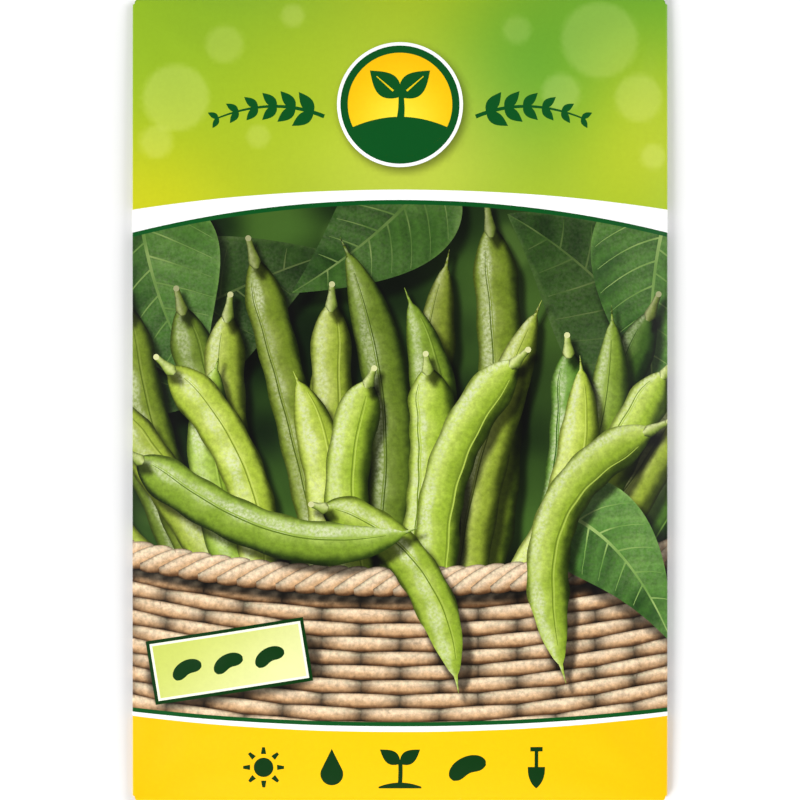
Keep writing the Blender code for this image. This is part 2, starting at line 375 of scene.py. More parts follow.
def draw_leaf(base, pull, tip, width, seed, tone=1.0, veins=8):
    """A bean leaflet from its base to its tip, with its rib and curved side veins."""
    line = curve(base, pull, tip, count=46)
    share = np.linspace(0, 1, len(line))
    half = leaf_half(share, width)
    length = np.hypot(*np.diff(line, axis=0).T).sum()
    spacing = length / veins
    slope, bend = 0.50, 0.28 * width
    deep, fresh, pale = ink(32, 66, 24), ink(84, 134, 50), ink(150, 190, 98)

    def paint(x, y):
        along, across = along_and_across(line, x, y)
        inside = np.clip(abs(across) / leaf_half(along, width), 0, 1)
        ahead = slope * abs(across) + bend * (across / width) ** 2
        phase = (along * length - ahead) / spacing + 0.5 * (across > 0)
        off_vein = abs(phase - np.round(phase))
        quilt = 0.5 + 0.5 * np.cos(2 * math.pi * (phase - 0.22))
        patch = grain(x, y, 7.0, seed)
        side = np.where(across > 0, 0.58, 0.36)
        light = side + 0.17 * quilt + 0.34 * (patch - 0.5) + 0.10 * (1 - along)
        light += 0.10 * (grain(x, y, 1.3, seed + 3) - 0.5)
        colour = mixed(deep, fresh, ease(light / 0.75))
        colour = mixed(colour, pale, 0.60 * ease((light - 0.66) / 0.5))
        groove = np.exp(-(((off_vein - 0.10) / 0.06) ** 2)) * (1 - 0.6 * inside)
        colour = colour * (1.0 - 0.16 * groove[:, None])
        rim = ease((inside - 0.93) / 0.07)
        colour = mixed(colour, pale, 0.35 * rim)
        return np.c_[np.clip(colour, 0, 1) * tone, np.full(len(x), 0.7), 0.10 * patch * tone]

    draw(ribbon(line, half), paint, shadow_of(line, half, 0.55, 2.4, 1.4))

    rib_pale = ink(172, 200, 116) * tone
    rib_dark = ink(104, 148, 66) * tone

    def rib_paint(x, y):
        return mixed(rib_pale, rib_dark, grain(x, y, 3, seed))

    reach = np.linspace(0, 1, 14)
    for side in (-1, 1):
        for number in range(-1, veins + 4):
            start = (number - 0.5 * (side > 0)) * spacing
            along = (start + slope * reach * width + bend * reach**2) / length
            fits = (along > 0.01) & (along < 0.97)
            fits &= reach * width < leaf_half(np.clip(along, 0, 1), width) * 0.96
            if fits.sum() < 4:
                continue
            at = along[fits] * (len(line) - 1)
            middle = np.transpose([np.interp(at, np.arange(len(line)), axis) for axis in line.T])
            step = np.gradient(line, axis=0)[at.astype(int)]
            step /= np.hypot(*step.T)[:, None]
            vein = middle + np.c_[-step[:, 1], step[:, 0]] * (side * reach[fits] * width)[:, None]
            draw(ribbon(vein, np.linspace(0.19, 0.05, len(vein))), rib_paint)
    rib = np.interp(share, [0, 0.9, 1], [0.44, 0.14, 0.05])
    draw(ribbon(line, rib), rib_paint)


def pod_half(along, width, beads):
    """Half the width of a pod: blunt at its stem, drawn out to a beak at its tip."""
    shoulder = np.sin(0.5 * math.pi * np.clip(along / 0.13, 0, 1)) ** 0.72
    body = shoulder * np.clip((0.955 - along) / 0.20, 0, 1) ** 0.55
    lumps = 1 + 0.035 * np.cos(2 * math.pi * beads * along)
    beak = 0.085 * np.clip((1 - along) / 0.05, 0, 1)
    return width * np.maximum(body * lumps, beak) + 0.03


STEM_INKS = (ink(60, 74, 26), ink(132, 152, 62), ink(196, 206, 132))
POD_INKS = (
    (ink(46, 62, 14), ink(138, 164, 48), ink(186, 204, 96)),
    (ink(42, 60, 16), ink(122, 150, 46), ink(170, 194, 92)),
    (ink(54, 66, 16), ink(152, 172, 56), ink(200, 212, 110)),
    (ink(26, 48, 14), ink(76, 116, 38), ink(128, 164, 76)),
)


def draw_pod(top, pull_one, pull_two, tip, width, seed, dim=1.0):
    """A green bean pod, with its stem end at top and its beak at tip."""
    line = curve(top, pull_one, pull_two, tip, count=64)
    share = np.linspace(0, 1, len(line))
    beads = 6 + seed % 3
    half = pod_half(share, width, beads)
    dark, middle, pale = POD_INKS[(0, 1, 2, 0, 3, 2, 1)[seed % 7]]
    draw_strand(
        line, half, (dark, middle, pale), beads, swell=0.13, shine=0.95, seed=seed, dim=dim
    )
    side = 0.30 if seed % 2 else -0.46
    seam_at = side + 0.18 * np.sin(share * 3.0 + seed)
    for offset, colour in ((0.0, dark * 0.32 + middle * 0.68), (0.09, middle * 0.4 + pale * 0.6)):
        seam = beside(line, half * (seam_at + offset))[4:-6]
        taper = 0.15 * np.sin(math.pi * np.linspace(0.04, 0.96, len(seam))) ** 0.5
        draw(ribbon(seam, taper), flat(colour * dim))
    cap = curve(line[0] + (line[0] - line[3]) * 1.1, line[0], line[2], count=14)
    cap_half = np.interp(np.linspace(0, 1, 14), [0, 0.30, 0.75, 1], [0.6, 0.75, 1.35, 0.5])
    draw_strand(cap, cap_half, STEM_INKS, shine=0.3, seed=seed + 5, dim=dim)
    cut = ring(*cap[0], 0.62, 14)
    draw(cut, flat(ink(206, 208, 150) * dim))


# Leaves at the back, then a heap of pods that fans out of the basket
draw_leaf((-66, 4), (-40, 22), (-14, 30), 17, 25, tone=0.52)
draw_leaf((62, -2), (44, 26), (22, 38), 17, 24, tone=0.57)
draw_leaf((-54, 44), (-52, 20), (-40, 2), 15, 61, tone=0.80)
draw_leaf((56, 42), (50, 26), (52, 0), 14, 66, tone=0.86)
draw_leaf((8, 48), (-2, 34), (-22, 22), 12, 63, tone=0.70)

heap = random.Random(23)
for count, spread, length, base_y, dim in (
    (10, 52, 78, -48, 0.76), (10, 46, 67, -48, 0.93), (9, 42, 55, -46, 1.05),
):
    order = list(range(count))
    heap.shuffle(order)
    for number in order:
        low_x = spread * (2 * (number + 0.5) / count - 1) + heap.uniform(-3, 3)
        turn = math.radians(90 - 0.75 * low_x + heap.uniform(-12, 12))
        ahead = np.array([math.cos(turn), math.sin(turn)])
        aside = np.array([-ahead[1], ahead[0]]) * heap.uniform(-11, 11)
        reach = length * heap.uniform(0.9, 1.08)
        low = np.array([low_x * 0.86, base_y])
        high = low + ahead * reach
        route = [low, low + ahead * reach * 0.33 + aside, low + ahead * reach * 0.68 + aside, high]
        if heap.random() < 0.6:
            route.reverse()
        draw_pod(*route, heap.uniform(3.9, 4.6), heap.randrange(1, 900), dim)

# Willow basket in front of the heap
# Rods are woven in rows over upright stakes, under a thick twisted rim. The bottom band and
# both side folds cut it off.
WILLOW_INKS = (ink(104, 70, 42), ink(206, 164, 120), ink(240, 212, 178))
ROD_STEP, STAKE_STEP, BASKET_FOOT = 2.9, 8.0, -74.0


def basket_row(x, below):
    """A row of the weave, so far below the basket's sagging edge."""
    return -37.0 - below + 5.5 * (np.asarray(x) / 55.0) ** 2


draw(
    strip_between(lambda x: 0 * x + BASKET_FOOT, lambda x: basket_row(x, 0.0)),
    flat(ink(54, 34, 20)),
    shadow_of(np.array([(-60.0, -38.0), (0.0, -43.0), (60.0, -38.0)]), np.full(3, 5.0), 0.4, 4.0),
)
for number in range(-7, 8):
    stake_x = STAKE_STEP * number
    stake = curve((stake_x, basket_row(stake_x, 1.0)), (stake_x * 0.98, BASKET_FOOT), count=20)
    draw_strand(stake, 1.25, WILLOW_INKS, shine=0.1, seed=200 + number, dim=0.62)
for row in range(12):
    for number in range(-4, 5):
        middle_x = STAKE_STEP * (2 * number + row % 2)
        rod_x = np.linspace(-STAKE_STEP, STAKE_STEP, 15)
        rod = np.c_[middle_x + rod_x, basket_row(middle_x + rod_x, 4.4 + ROD_STEP * row)]
        half = 1.52 - 0.35 * abs(rod_x / STAKE_STEP) ** 3
        draw_strand(
            rod, half, WILLOW_INKS, shine=0.5, seed=300 + 20 * row + number, grit=1.0, ends=0.55
        )
for number in range(-15, 16):
    rim_x = 4.0 * number
    twist = curve((-5.4, -2.2), (-1.6, -1.8), (1.6, 1.8), (5.4, 2.2), count=18)
    twist = np.c_[rim_x + twist[:, 0], twist[:, 1] + basket_row(rim_x + twist[:, 0], 0.2)]
    half = 1.9 * np.sin(math.pi * np.linspace(0.06, 0.94, 18)) ** 0.6
    draw_strand(twist, half, WILLOW_INKS, shine=0.6, seed=600 + number, grit=1.0, ends=0.35)

# Pods and a leaf that hang over the basket's rim
draw_leaf((30, -22), (46, -26), (56, -50), 10, 72, tone=0.95, veins=7)
draw_pod((52, -6), (30, -16), (26, -30), (34, -58), 4.3, 77)
draw_pod((-16, -22), (-2, -26), (8, -34), (12, -60), 4.2, 73)
draw_pod((-54, -12), (-40, -22), (-20, -36), (4, -26), 4.4, 85)


# Printed header, with an arched lower edge
# Soft light greens and yellows run into each other, with pale round spots of light. A
# white arch and a thin dark green line close it off from the picture below.
DARK_GREEN = ink(0, 82, 32)
DEEP_GREEN = ink(0, 56, 14)
YELLOW = ink(255, 208, 4)
WHITE = ink(255, 255, 255)
ARCH_TOP, ARCH_DROP = 40.0, 6.5


def arch(x, offset=0.0, spread=0.0):
    return ARCH_TOP + offset + (spread - ARCH_DROP) * (x / 55.0) ** 2


def header(x, y):
    colour = np.tile(ink(142, 176, 34), (len(x), 1))
    for cx, cy, reach, red, green, blue, strength in (
        (-52, 44, 20, 222, 210, 26, 0.85), (-30, 84, 20, 112, 166, 44, 0.80),
        (14, 88, 18, 182, 196, 20, 0.80), (50, 84, 22, 82, 152, 50, 0.85),
        (46, 54, 17, 196, 206, 44, 0.85), (-54, 72, 16, 142, 180, 42, 0.70),
        (24, 66, 13, 22, 126, 44, 0.50), (0, 50, 20, 206, 214, 84, 0.75),
        (-22, 64, 14, 170, 194, 38, 0.60),
    ):
        near = np.exp(-((x - cx) ** 2 + (y - cy) ** 2) / (2 * reach**2))
        colour = mixed(colour, ink(red, green, blue), strength * near)
    for cx, cy, radius, strength in (
        (-46, 62, 7.5, 0.20), (-36, 73, 4.5, 0.16), (-50, 53, 4.0, 0.20), (41, 74, 8.5, 0.16),
        (33, 63, 4.5, 0.18), (49, 62, 5.5, 0.18), (24, 76, 3.5, 0.14), (-22, 79, 3.0, 0.18),
        (52, 50, 3.2, 0.20), (-29, 54, 3.0, 0.16),
    ):
        spot = ease((radius - np.hypot(x - cx, y - cy)) / 1.3)
        colour = mixed(colour, ink(246, 250, 196), strength * spot)
    return colour


PAST_THE_END = SHEET_Y * MM + 1.0
draw(strip_between(arch, lambda x: 0 * x + PAST_THE_END), header)
draw(strip_between(arch, lambda x: arch(x, 0.9)), flat(DARK_GREEN))
draw(strip_between(lambda x: arch(x, 0.9), lambda x: arch(x, 3.0, 2.6)), flat(WHITE))

# Printed bottom band
# Golden yellow, with a dark green line and a white line along its sagging upper edge, and a
# row of plain garden signs: sun, water, seedling, bean and spade.
BAND_TOP, BAND_SAG = -66.0, 2.8


def sag(x, offset=0.0, spread=0.0):
    return BAND_TOP + offset + (spread + BAND_SAG) * (x / 55.0) ** 2


def golden(x, y):
    glow = np.exp(-(x**2 + (y + 60) ** 2) / (2 * 45.0**2))
    return mixed(ink(255, 192, 0), ink(255, 201, 0), glow)


draw(strip_between(lambda x: 0 * x - PAST_THE_END, sag), golden)
draw(strip_between(lambda x: sag(x, -0.85), sag), flat(DARK_GREEN))
draw(strip_between(lambda x: sag(x, -2.0, 0.3), lambda x: sag(x, -0.85)), flat(WHITE))


def leaf_shape(x, y, length, width, turn, count=24):
    """A plain pointed leaf that starts at x, y and points along turn."""
    share = np.linspace(0, 1, count)
    tip = (x + length * math.cos(turn), y + length * math.sin(turn))
    line = np.linspace((x, y), tip, count)
    return ribbon(line, width * np.sin(math.pi * share**0.8) + 0.01)


def draw_sun(x, y, size, colour):
    draw(ring(x, y, size * 0.48, 36), flat(colour))
    for number in range(8):
        turn = number * math.pi / 4
        ray = [
            (x + size * r * math.cos(turn), y + size * r * math.sin(turn)) for r in (0.66, 1.0)
        ]
        draw(ribbon(np.array(ray), np.array([0.13, 0.07]) * size), flat(colour))


def draw_drop(x, y, size, colour):
    angle = np.linspace(-0.15 * math.pi, 1.15 * math.pi, 30)
    round_part = np.c_[0.60 * np.cos(-angle), 0.60 * np.sin(-angle) - 0.36]
    draw(np.vstack([round_part, [(0.0, 1.0)]]) * size + (x, y), flat(colour))


def draw_seedling(x, y, size, colour):
    stem = curve((x, y - size * 0.8), (x + 0.05 * size, y), (x, y + 0.3 * size), count=12)
    draw(ribbon(stem, 0.10 * size), flat(colour))
    for turn in (0.62, math.pi - 0.62):
        draw(leaf_shape(x, y + 0.18 * size, 1.15 * size, 0.32 * size, turn), flat(colour))
    ground = curve((x - size, y - 0.92 * size), (x, y - 0.52 * size), (x + size, y - 0.92 * size))
    ground = np.vstack([ground, [(x + size, y - size), (x - size, y - size)]])
    draw(ground, flat(colour))


def draw_bean_sign(x, y, size, turn, colour):
    middle = curve((-0.92, -0.16), (-0.40, 0.42), (0.40, 0.42), (0.92, -0.16), count=30) * size
    half = 0.45 * size * np.sqrt(1.0 - np.linspace(-0.998, 0.998, 30) ** 4)
    draw(turned(ribbon(middle, half), turn) + (x, y), flat(colour))


def draw_spade(x, y, size, colour):
    shaft, grip = [(0.0, -0.1), (0.0, 0.85)], [(-0.3, 0.9), (0.3, 0.9)]
    for bar, half in ((shaft, 0.09), (grip, 0.11)):
        draw(ribbon(np.array(bar) * size + (x, y), half * size), flat(colour))
    blade = curve((0.42, 0.02), (0.44, -0.7), (0.0, -1.05), count=14)
    blade = np.vstack([blade, blade[::-1] * (-1, 1)])
    draw(blade * size + (x, y), flat(colour))


SIGN_Y = -75.4
draw_sun(-28.0, SIGN_Y, 4.2, DEEP_GREEN)
draw_drop(-14.0, SIGN_Y, 3.9, DEEP_GREEN)
draw_seedling(0.0, SIGN_Y, 4.4, DEEP_GREEN)
draw_bean_sign(14.0, SIGN_Y - 0.6, 4.0, 0.45, DEEP_GREEN)
draw_spade(28.0, SIGN_Y, 4.2, DEEP_GREEN)

# Round badge in the header
# A dark green ring round a yellow sky, with a seedling on a green hill, and a leafy twig on
# either side. It is a plain garden badge.
BADGE_X, BADGE_Y, BADGE_R = 0.0, 60.5, 12.2


def badge_sky(x, y):
    glow = np.exp(-(x**2 + (y - BADGE_Y + 4) ** 2) / (2 * 7.0**2))
    return mixed(ink(250, 186, 0), ink(255, 232, 60), glow)


def soft_shadow(x, y):
    away = np.hypot(x - BADGE_X - 0.6, y - BADGE_Y + 0.8) - BADGE_R
    return mixed(header(x, y) * 0.62, header(x, y), ease((away + 0.4) / 2.6))


draw(ring(BADGE_X + 0.6, BADGE_Y - 0.8, BADGE_R + 2.6, 72), soft_shadow)
draw(ring(BADGE_X, BADGE_Y, BADGE_R + 0.7, 96), flat(WHITE))
draw(ring(BADGE_X, BADGE_Y, BADGE_R, 96), flat(DARK_GREEN))
draw(ring(BADGE_X, BADGE_Y, BADGE_R - 1.5, 90), badge_sky)
hill_angle = np.linspace(math.pi + 0.45, 2 * math.pi - 0.45, 40)
hill = np.c_[np.cos(hill_angle), np.sin(hill_angle)] * (BADGE_R - 1.5) + (BADGE_X, BADGE_Y)
hill_top = curve(hill[-1], (BADGE_X, BADGE_Y - 0.4), hill[0], count=30)
draw(np.vstack([hill, hill_top[1:-1]]), flat(DARK_GREEN))
sprout = curve((0, BADGE_Y - 3.5), (0.6, BADGE_Y), (0, BADGE_Y + 3.4), count=20)
draw(ribbon(sprout, np.linspace(0.8, 0.45, 20)), flat(DARK_GREEN))
for turn in (0.72, math.pi - 0.72):
    draw(leaf_shape(0.0, BADGE_Y + 1.6, 8.2, 2.5, turn, 30), flat(DARK_GREEN))
    vein_tip = (6.4 * math.cos(turn), BADGE_Y + 1.6 + 6.4 * math.sin(turn))
    vein = np.linspace((0.0, BADGE_Y + 1.6), vein_tip, 8)
    draw(ribbon(vein[2:], np.linspace(0.20, 0.08, 6)), flat(ink(236, 206, 20)))

for side in (-1, 1):
    twig = curve((side * 15.5, 58.0), (side * 26.0, 62.5), (side * 38.0, 57.5), count=30)
    draw(ribbon(twig, np.linspace(0.42, 0.16, 30)), flat(DARK_GREEN))
    for number in range(6):
        place = twig[3 + number * 5]
        size = 5.2 - 0.55 * number
        for lean in (0.75, -0.75):
            turn = (0.0 if side > 0 else math.pi) + lean * side + 0.1 * (2 - number) * side
            draw(leaf_shape(*place, size, size * 0.24, turn, 16), flat(DARK_GREEN))

# Small blank label on the picture
# A pale tag printed at a slant, with a dark green border and three bean signs on it.
TAG_X, TAG_Y, TAG_TURN = -35.0, -53.5, 0.16


def tag_outline(half_x, half_y):
    return turned(oblong(-half_x, -half_y, half_x, half_y), TAG_TURN) + (TAG_X, TAG_Y)


def tag_face(x, y):
    return mixed(ink(206, 216, 104), ink(238, 240, 170), ease((x - y - TAG_X + TAG_Y) / 36 + 0.5))


tag_line = tag_outline(11.4, 0.0)[[0, 1]]
draw(
    tag_outline(16.4, 6.6), flat(DEEP_GREEN),
    shadow_of(tag_line, np.full(2, 6.4), 0.62, 2.2, 0.7),
)
draw(tag_outline(15.7, 5.9), flat(ink(250, 252, 232)))
draw(tag_outline(15.2, 5.4), tag_face)
for number in (-1, 0, 1):
    along = number * 8.6
    draw_bean_sign(
        TAG_X + along * math.cos(TAG_TURN), TAG_Y + along * math.sin(TAG_TURN) - 0.8,
        3.2, TAG_TURN + 0.35, DEEP_GREEN,
    )

# Print on the back
# Two plain pale panels with a green head and a yellow foot that run on from the front, and
# a ruled planting chart without any words.
BACK_HEAD, BACK_FOOT = 58.0, -66.0
PALE = ink(246, 246, 224)
for side in (-1, 1):
    near, far = side * BLEED_MM, side * (SHEET_X * MM + 1.0)
    tall = BACK_Y * MM + 1.0
    draw(oblong(near, -tall, far, tall), flat(PALE))
    draw(oblong(near, BACK_HEAD, far, tall), flat(ink(150, 192, 52)))
    draw(oblong(near, -tall, far, BACK_FOOT), flat(YELLOW))
    for height in (BACK_HEAD, BACK_FOOT):
        rule = np.array([(near, height), (far, height)])
        draw(ribbon(rule, 0.45), flat(DARK_GREEN))

# A row of twelve months, then seeds in the soil under three seedlings of growing size
first_cell = BLEED_MM + 5.0
for number in range(12):
    cell = first_cell + 3.9 * number
    fill = ink(120, 176, 50) if 4 <= number <= 6 else WHITE
    if 7 <= number <= 8:
        fill = YELLOW
    outline = np.array(oblong(0, 0, 3.6, 5.0))
    draw(outline + (cell, 40.0), flat(DARK_GREEN))
    draw(outline * (0.88, 0.91) + (cell + 0.21, 40.22), flat(fill))
chart_end = first_cell + 46.4
draw(ribbon(np.array([(first_cell, 4.0), (chart_end, 4.0)]), 0.35), flat(ink(110, 76, 40)))
draw(oblong(first_cell, -8.0, chart_end, 3.7), flat(ink(176, 138, 88)))
for number in range(3):
    across = first_cell + 8.0 + 15.0 * number
    size = 4.0 + 1.6 * number
    draw_bean_sign(across, -2.4, 2.0, 0.3, WHITE)
    draw_seedling(across, 4.0 + 0.9 * size, size, ink(60, 130, 50))
for number, sign in enumerate((draw_sun, draw_drop, draw_seedling, draw_spade)):
    sign(-BLEED_MM - 24.0, 38.0 - 22.0 * number, 6.0, ink(60, 130, 50))

# Paper packet, its mesh
# The print is drawn as fine triangles whose edges follow every outline, on the flat sheet,
# and the sheet is then folded. A second, coarser layer is the unprinted inside.


def lattice(low_x, high_x, low_y, high_y, step):
    """Points in rows, every second row moved along by half a step."""
    columns = max(int((high_x - low_x) / step), 1)
    rows = max(int((high_y - low_y) / (step * 0.87)), 1)
    x = np.linspace(low_x, high_x, columns + 1)
    y = np.linspace(low_y, high_y, rows + 1)
    gx, gy = np.meshgrid(x, y)
    gx[1:-1:2, 1:-1] += step / 2 * np.ones(columns - 1) * 0.98
    return np.c_[gx.ravel(), gy.ravel()]


def stations(low, high, step):
    return np.linspace(low, high, max(int(abs(high - low) / step), 1) + 1)


sheet_x, sheet_y = SHEET_X * MM, SHEET_Y * MM
front_x, front_y, back_y = FRONT_X * MM, FRONT_Y * MM, BACK_Y * MM
turned_x, turned_y = SIDE_TURN * MM, END_TURN * MM
corners = [(-sheet_x, -back_y), (-front_x, -back_y), (-front_x, -sheet_y)]
corners += [(-x, y) for x, y in corners[::-1]]
corners += [(x, -y) for x, y in corners[::-1]]
sheet_rim = []
for (ax, ay), (bx, by) in zip(corners, corners[1:] + corners[:1]):
    steps = max(int(math.hypot(bx - ax, by - ay) / 1.6), 1)
    sheet_rim += [(ax + (bx - ax) * i / steps, ay + (by - ay) * i / steps) for i in range(steps)]

fold_points, fold_edges = [], []


def add_fold_line(line):
    first = sum(len(group) for group in fold_points)
    fold_edges.extend((first + i, first + i + 1) for i in range(len(line) - 1))
    fold_points.append(line)


for side in (-1, 1):
    for column in np.linspace(front_x, turned_x, 9):
        rows = stations(-back_y + 0.2, back_y - 0.2, 1.1)
        add_fold_line(np.c_[np.full(len(rows), side * column), rows])
    for row in np.linspace(front_y, turned_y, 9):
        columns = stations(-front_x + 0.4, front_x - 0.4, 1.3)
        add_fold_line(np.c_[columns, np.full(len(columns), side * row)])
for side in (-1, 1):
    low, high = sorted((side * (turned_x + 1.5), side * (sheet_x - 1.0)))
    fold_points.append(lattice(low, high, -back_y + 1.0, back_y - 1.0, 2.6))
    low, high = sorted((side * (turned_y + 1.0), side * (sheet_y - 1.0)))
    fold_points.append(lattice(-front_x + 1.0, front_x - 1.0, low, high, 2.4))
fold_points = np.vstack(fold_points)

PICTURE_STEP, HEADER_STEP, INSIDE_STEP = 0.55, 1.05, 2.3
fine_points = [
    lattice(-front_x + 0.3, front_x - 0.3, -68.0, 42.0, PICTURE_STEP),
    lattice(-front_x + 0.3, front_x - 0.3, 42.8, front_y - 0.3, HEADER_STEP),
    lattice(-front_x + 0.3, front_x - 0.3, -front_y + 0.3, -69.0, HEADER_STEP),
]
coarse_points = lattice(1.0 - front_x, front_x - 1.0, 1.0 - front_y, front_y - 1.0, INSIDE_STEP)


def triangles_of(points, edges):
    """Triangles of the sheet over all the points, with every edge kept."""
    out = delaunay_2d_cdt([tuple(p) for p in points.tolist()], edges, [], 0, 1e-5)
    spots = np.array([tuple(v) for v in out[0]])
    faces = np.array([tuple(f) for f in out[2]])
    middle = spots[faces].mean(axis=1)
    inside = (abs(middle[:, 0]) < sheet_x) & (abs(middle[:, 1]) < back_y)
    inside |= (abs(middle[:, 0]) < front_x) & (abs(middle[:, 1]) < sheet_y)
    a, b, c = (spots[faces[:, i]] for i in range(3))
    area = (b[:, 0] - a[:, 0]) * (c[:, 1] - a[:, 1]) - (b[:, 1] - a[:, 1]) * (c[:, 0] - a[:, 0])
    faces[area < 0] = faces[area < 0][:, ::-1]
    used, places = np.unique(faces[inside], return_inverse=True)
    return spots[used], places.reshape(-1, 3), [out[3][i] for i in used]


def inside_outline(outline, x, y):
    """Whether each point is inside the outline, by counting the edges it looks across."""
    inside = np.zeros(len(x), bool)
    for (ax, ay), (bx, by) in zip(outline, np.roll(outline, -1, axis=0)):
        crosses = (ay > y) != (by > y)
        if ay != by:
            inside ^= crosses & (x < ax + (bx - ax) * (y - ay) / (by - ay))
    return inside


def top_shape(places):
    """The number of the last shape that covers each place, or -1."""
    top = np.full(len(places), -1)
    for number, (outline, _, _) in enumerate(sheet_shapes):
        low, high = outline.min(axis=0), outline.max(axis=0)
        near = np.flatnonzero(((places >= low) & (places <= high)).all(axis=1))
        top[near[inside_outline(outline, *places[near].T)]] = number
    return top


# Only the parts of the outlines that later shapes leave in sight are kept
starts = np.vstack([outline for outline, _, _ in sheet_shapes])
nexts = np.vstack([np.roll(outline, -1, axis=0) for outline, _, _ in sheet_shapes])
shape_of = np.repeat(np.arange(len(sheet_shapes)), [len(o) for o, _, _ in sheet_shapes])
tops = [top_shape(places) for places in (starts, (starts + nexts) / 2, nexts)]
seen = np.any([top <= shape_of for top in tops], axis=0)
pairs = np.vstack([starts[seen], nexts[seen]])
count = int(seen.sum())
around = len(sheet_rim)
edges = [(i, (i + 1) % around) for i in range(around)]
edges += [(around + i, around + count + i) for i in range(count)]
total = around + 2 * count
edges += [(total + a, total + b) for a, b in fold_edges]
extra = np.vstack([np.c_[group, np.full(len(group), owner)] for group, owner in sheet_points])
extra = extra[top_shape(extra[:, :2]) == extra[:, 2], :2]
points = [np.array(sheet_rim), pairs, fold_points, extra] + fine_points
spots, faces, _ = triangles_of(np.vstack(points), edges)
middle = spots[faces].mean(axis=1)
owner = top_shape(middle)

# Every triangle takes the ink of the shape on top, dimmed by the shadows that fall on it
inks = np.ones((len(faces), 3, 3))
touch = np.zeros((len(faces), 3, 2))
corner_spots = spots[faces]
for number, (_, paint, _) in enumerate(sheet_shapes):
    mine = np.flatnonzero(owner == number)
    if len(mine):
        x, y = corner_spots[mine].reshape(-1, 2).T
        values = np.clip(paint(x, y), 0, 1).reshape(len(mine), 3, -1)
        inks[mine] = values[..., :3]
        if values.shape[2] > 3:
            touch[mine] = values[..., 3:]
for number, (outline, _, shade) in enumerate(sheet_shapes):
    if shade is None:
        continue
    low, high = outline.min(axis=0) - 4.0, outline.max(axis=0) + 4.0
    under = (owner < number) & ((middle >= low) & (middle <= high)).all(axis=1)
    under = np.flatnonzero(under)
    if len(under):
        x, y = corner_spots[under].reshape(-1, 2).T
        light_left = shade(x, y).reshape(-1, 3)
        inks[under] *= light_left[..., None]
        touch[under, :, 1] *= light_left**2

# The inside layer shares the rim's points, and the cut edges join the two layers
sides = np.vstack([faces[:, [0, 1]], faces[:, [1, 2]], faces[:, [2, 0]]])
known = {tuple(pair) for pair in sides.tolist()}
open_sides = [pair for pair in known if pair[::-1] not in known]
rim_ids = sorted({a for pair in open_sides for a in pair})
rim_place = {a: i for i, a in enumerate(rim_ids)}
rim_edges = [(rim_place[a], rim_place[b]) for a, b in open_sides]
inner_input = np.vstack([spots[rim_ids], fold_points, coarse_points])
inner_spots, inner_faces, sources = triangles_of(inner_input, rim_edges)
inner_of = {}
for number, source in enumerate(sources):
    for first in source:
        if first < len(rim_ids):
            inner_of[rim_ids[first]] = number

outer_u, outer_v = spots.T / MM
inner_u, inner_v = inner_spots.T / MM
outer_facing, inner_facing = facing(outer_u, outer_v), facing(inner_u, inner_v)
outer = fold(outer_u, outer_v) + outer_facing * PAPER / 2
inner = fold(inner_u, inner_v) - inner_facing * PAPER / 2
shift = len(outer)
edge_faces = []
for a, b in sorted(open_sides):
    a_in, b_in = inner_of[a] + shift, inner_of[b] + shift
    edge_faces += [(a, a_in, b_in), (a, b_in, b)]
edge_faces = np.array(edge_faces)
all_faces = np.vstack([faces, inner_faces[:, ::-1] + shift, edge_faces])
sheet_mesh = bpy.data.meshes.new("printed_packet")
sheet_mesh.from_pydata(np.vstack([outer, inner]).tolist(), [], all_faces.tolist())
packet = bpy.data.objects.new("printed_packet", sheet_mesh)
bpy.context.collection.objects.link(packet)

SCREEN_GAMMA = 2.2
for name, values, blank in (("ink", inks**SCREEN_GAMMA, 1.0), ("touch", touch, 0.0)):
    marks = np.full((len(all_faces), 3, 4), blank)
    marks[: len(faces), :, : values.shape[2]] = values
    sheet_mesh.color_attributes.new(name, "FLOAT_COLOR", "CORNER")
    sheet_mesh.color_attributes[name].data.foreach_set("color", marks.ravel())

# The map for baked colours: the flat sheet, and a strip beside it for the plain inside
unfolded = np.vstack([spots, inner_spots])
place_x = np.clip(unfolded[:, 0], -BLEED_MM, BLEED_MM)
place_x += (unfolded[:, 0] - place_x) * 0.45
place_y = np.clip(unfolded[:, 1], -back_y, back_y)
place_y += (unfolded[:, 1] - place_y) * 0.30
span_x, span_y = abs(place_x).max(), abs(place_y).max()
flat_place = np.c_[0.435 + 0.430 * place_x / span_x, 0.5 + 0.495 * place_y / span_y]
corner_place = flat_place[all_faces]
plain_at = slice(len(faces), len(faces) + len(inner_faces))
corner_place[plain_at, :, 0] = 0.88 + 0.10 * corner_place[plain_at, :, 0]
edge_at = slice(len(faces) + len(inner_faces), None)
corner_place[edge_at, :, 0] = 0.990 + 0.005 * (all_faces[edge_at] >= shift)
sheet_mesh.uv_layers.new(name="OFBake")
sheet_mesh.uv_layers["OFBake"].data.foreach_set("uv", corner_place.ravel())

sheet_mesh.polygons.foreach_set("use_smooth", np.ones(len(all_faces), bool))
material_of = np.zeros(len(all_faces), np.int32)
material_of[len(faces):] = 1
sheet_mesh.polygons.foreach_set("material_index", material_of)
a, b, c = (np.vstack([outer, inner])[edge_faces[:, i]] for i in range(3))
edge_facing = np.cross(b - a, c - a)
edge_facing /= np.maximum(np.linalg.norm(edge_facing, axis=1), 1e-12)[:, None]
normals = np.concatenate([
    outer_facing[faces],
    -inner_facing[inner_faces[:, ::-1]],
    np.repeat(edge_facing[:, None, :], 3, axis=1),
])
sheet_mesh.normals_split_custom_set(normals.reshape(-1, 3).tolist())


def new_material(name):
    material = bpy.data.materials.new(name)
    material.use_nodes = True
    nodes, links = material.node_tree.nodes, material.node_tree.links
    return material, nodes, links, nodes["Principled BSDF"]


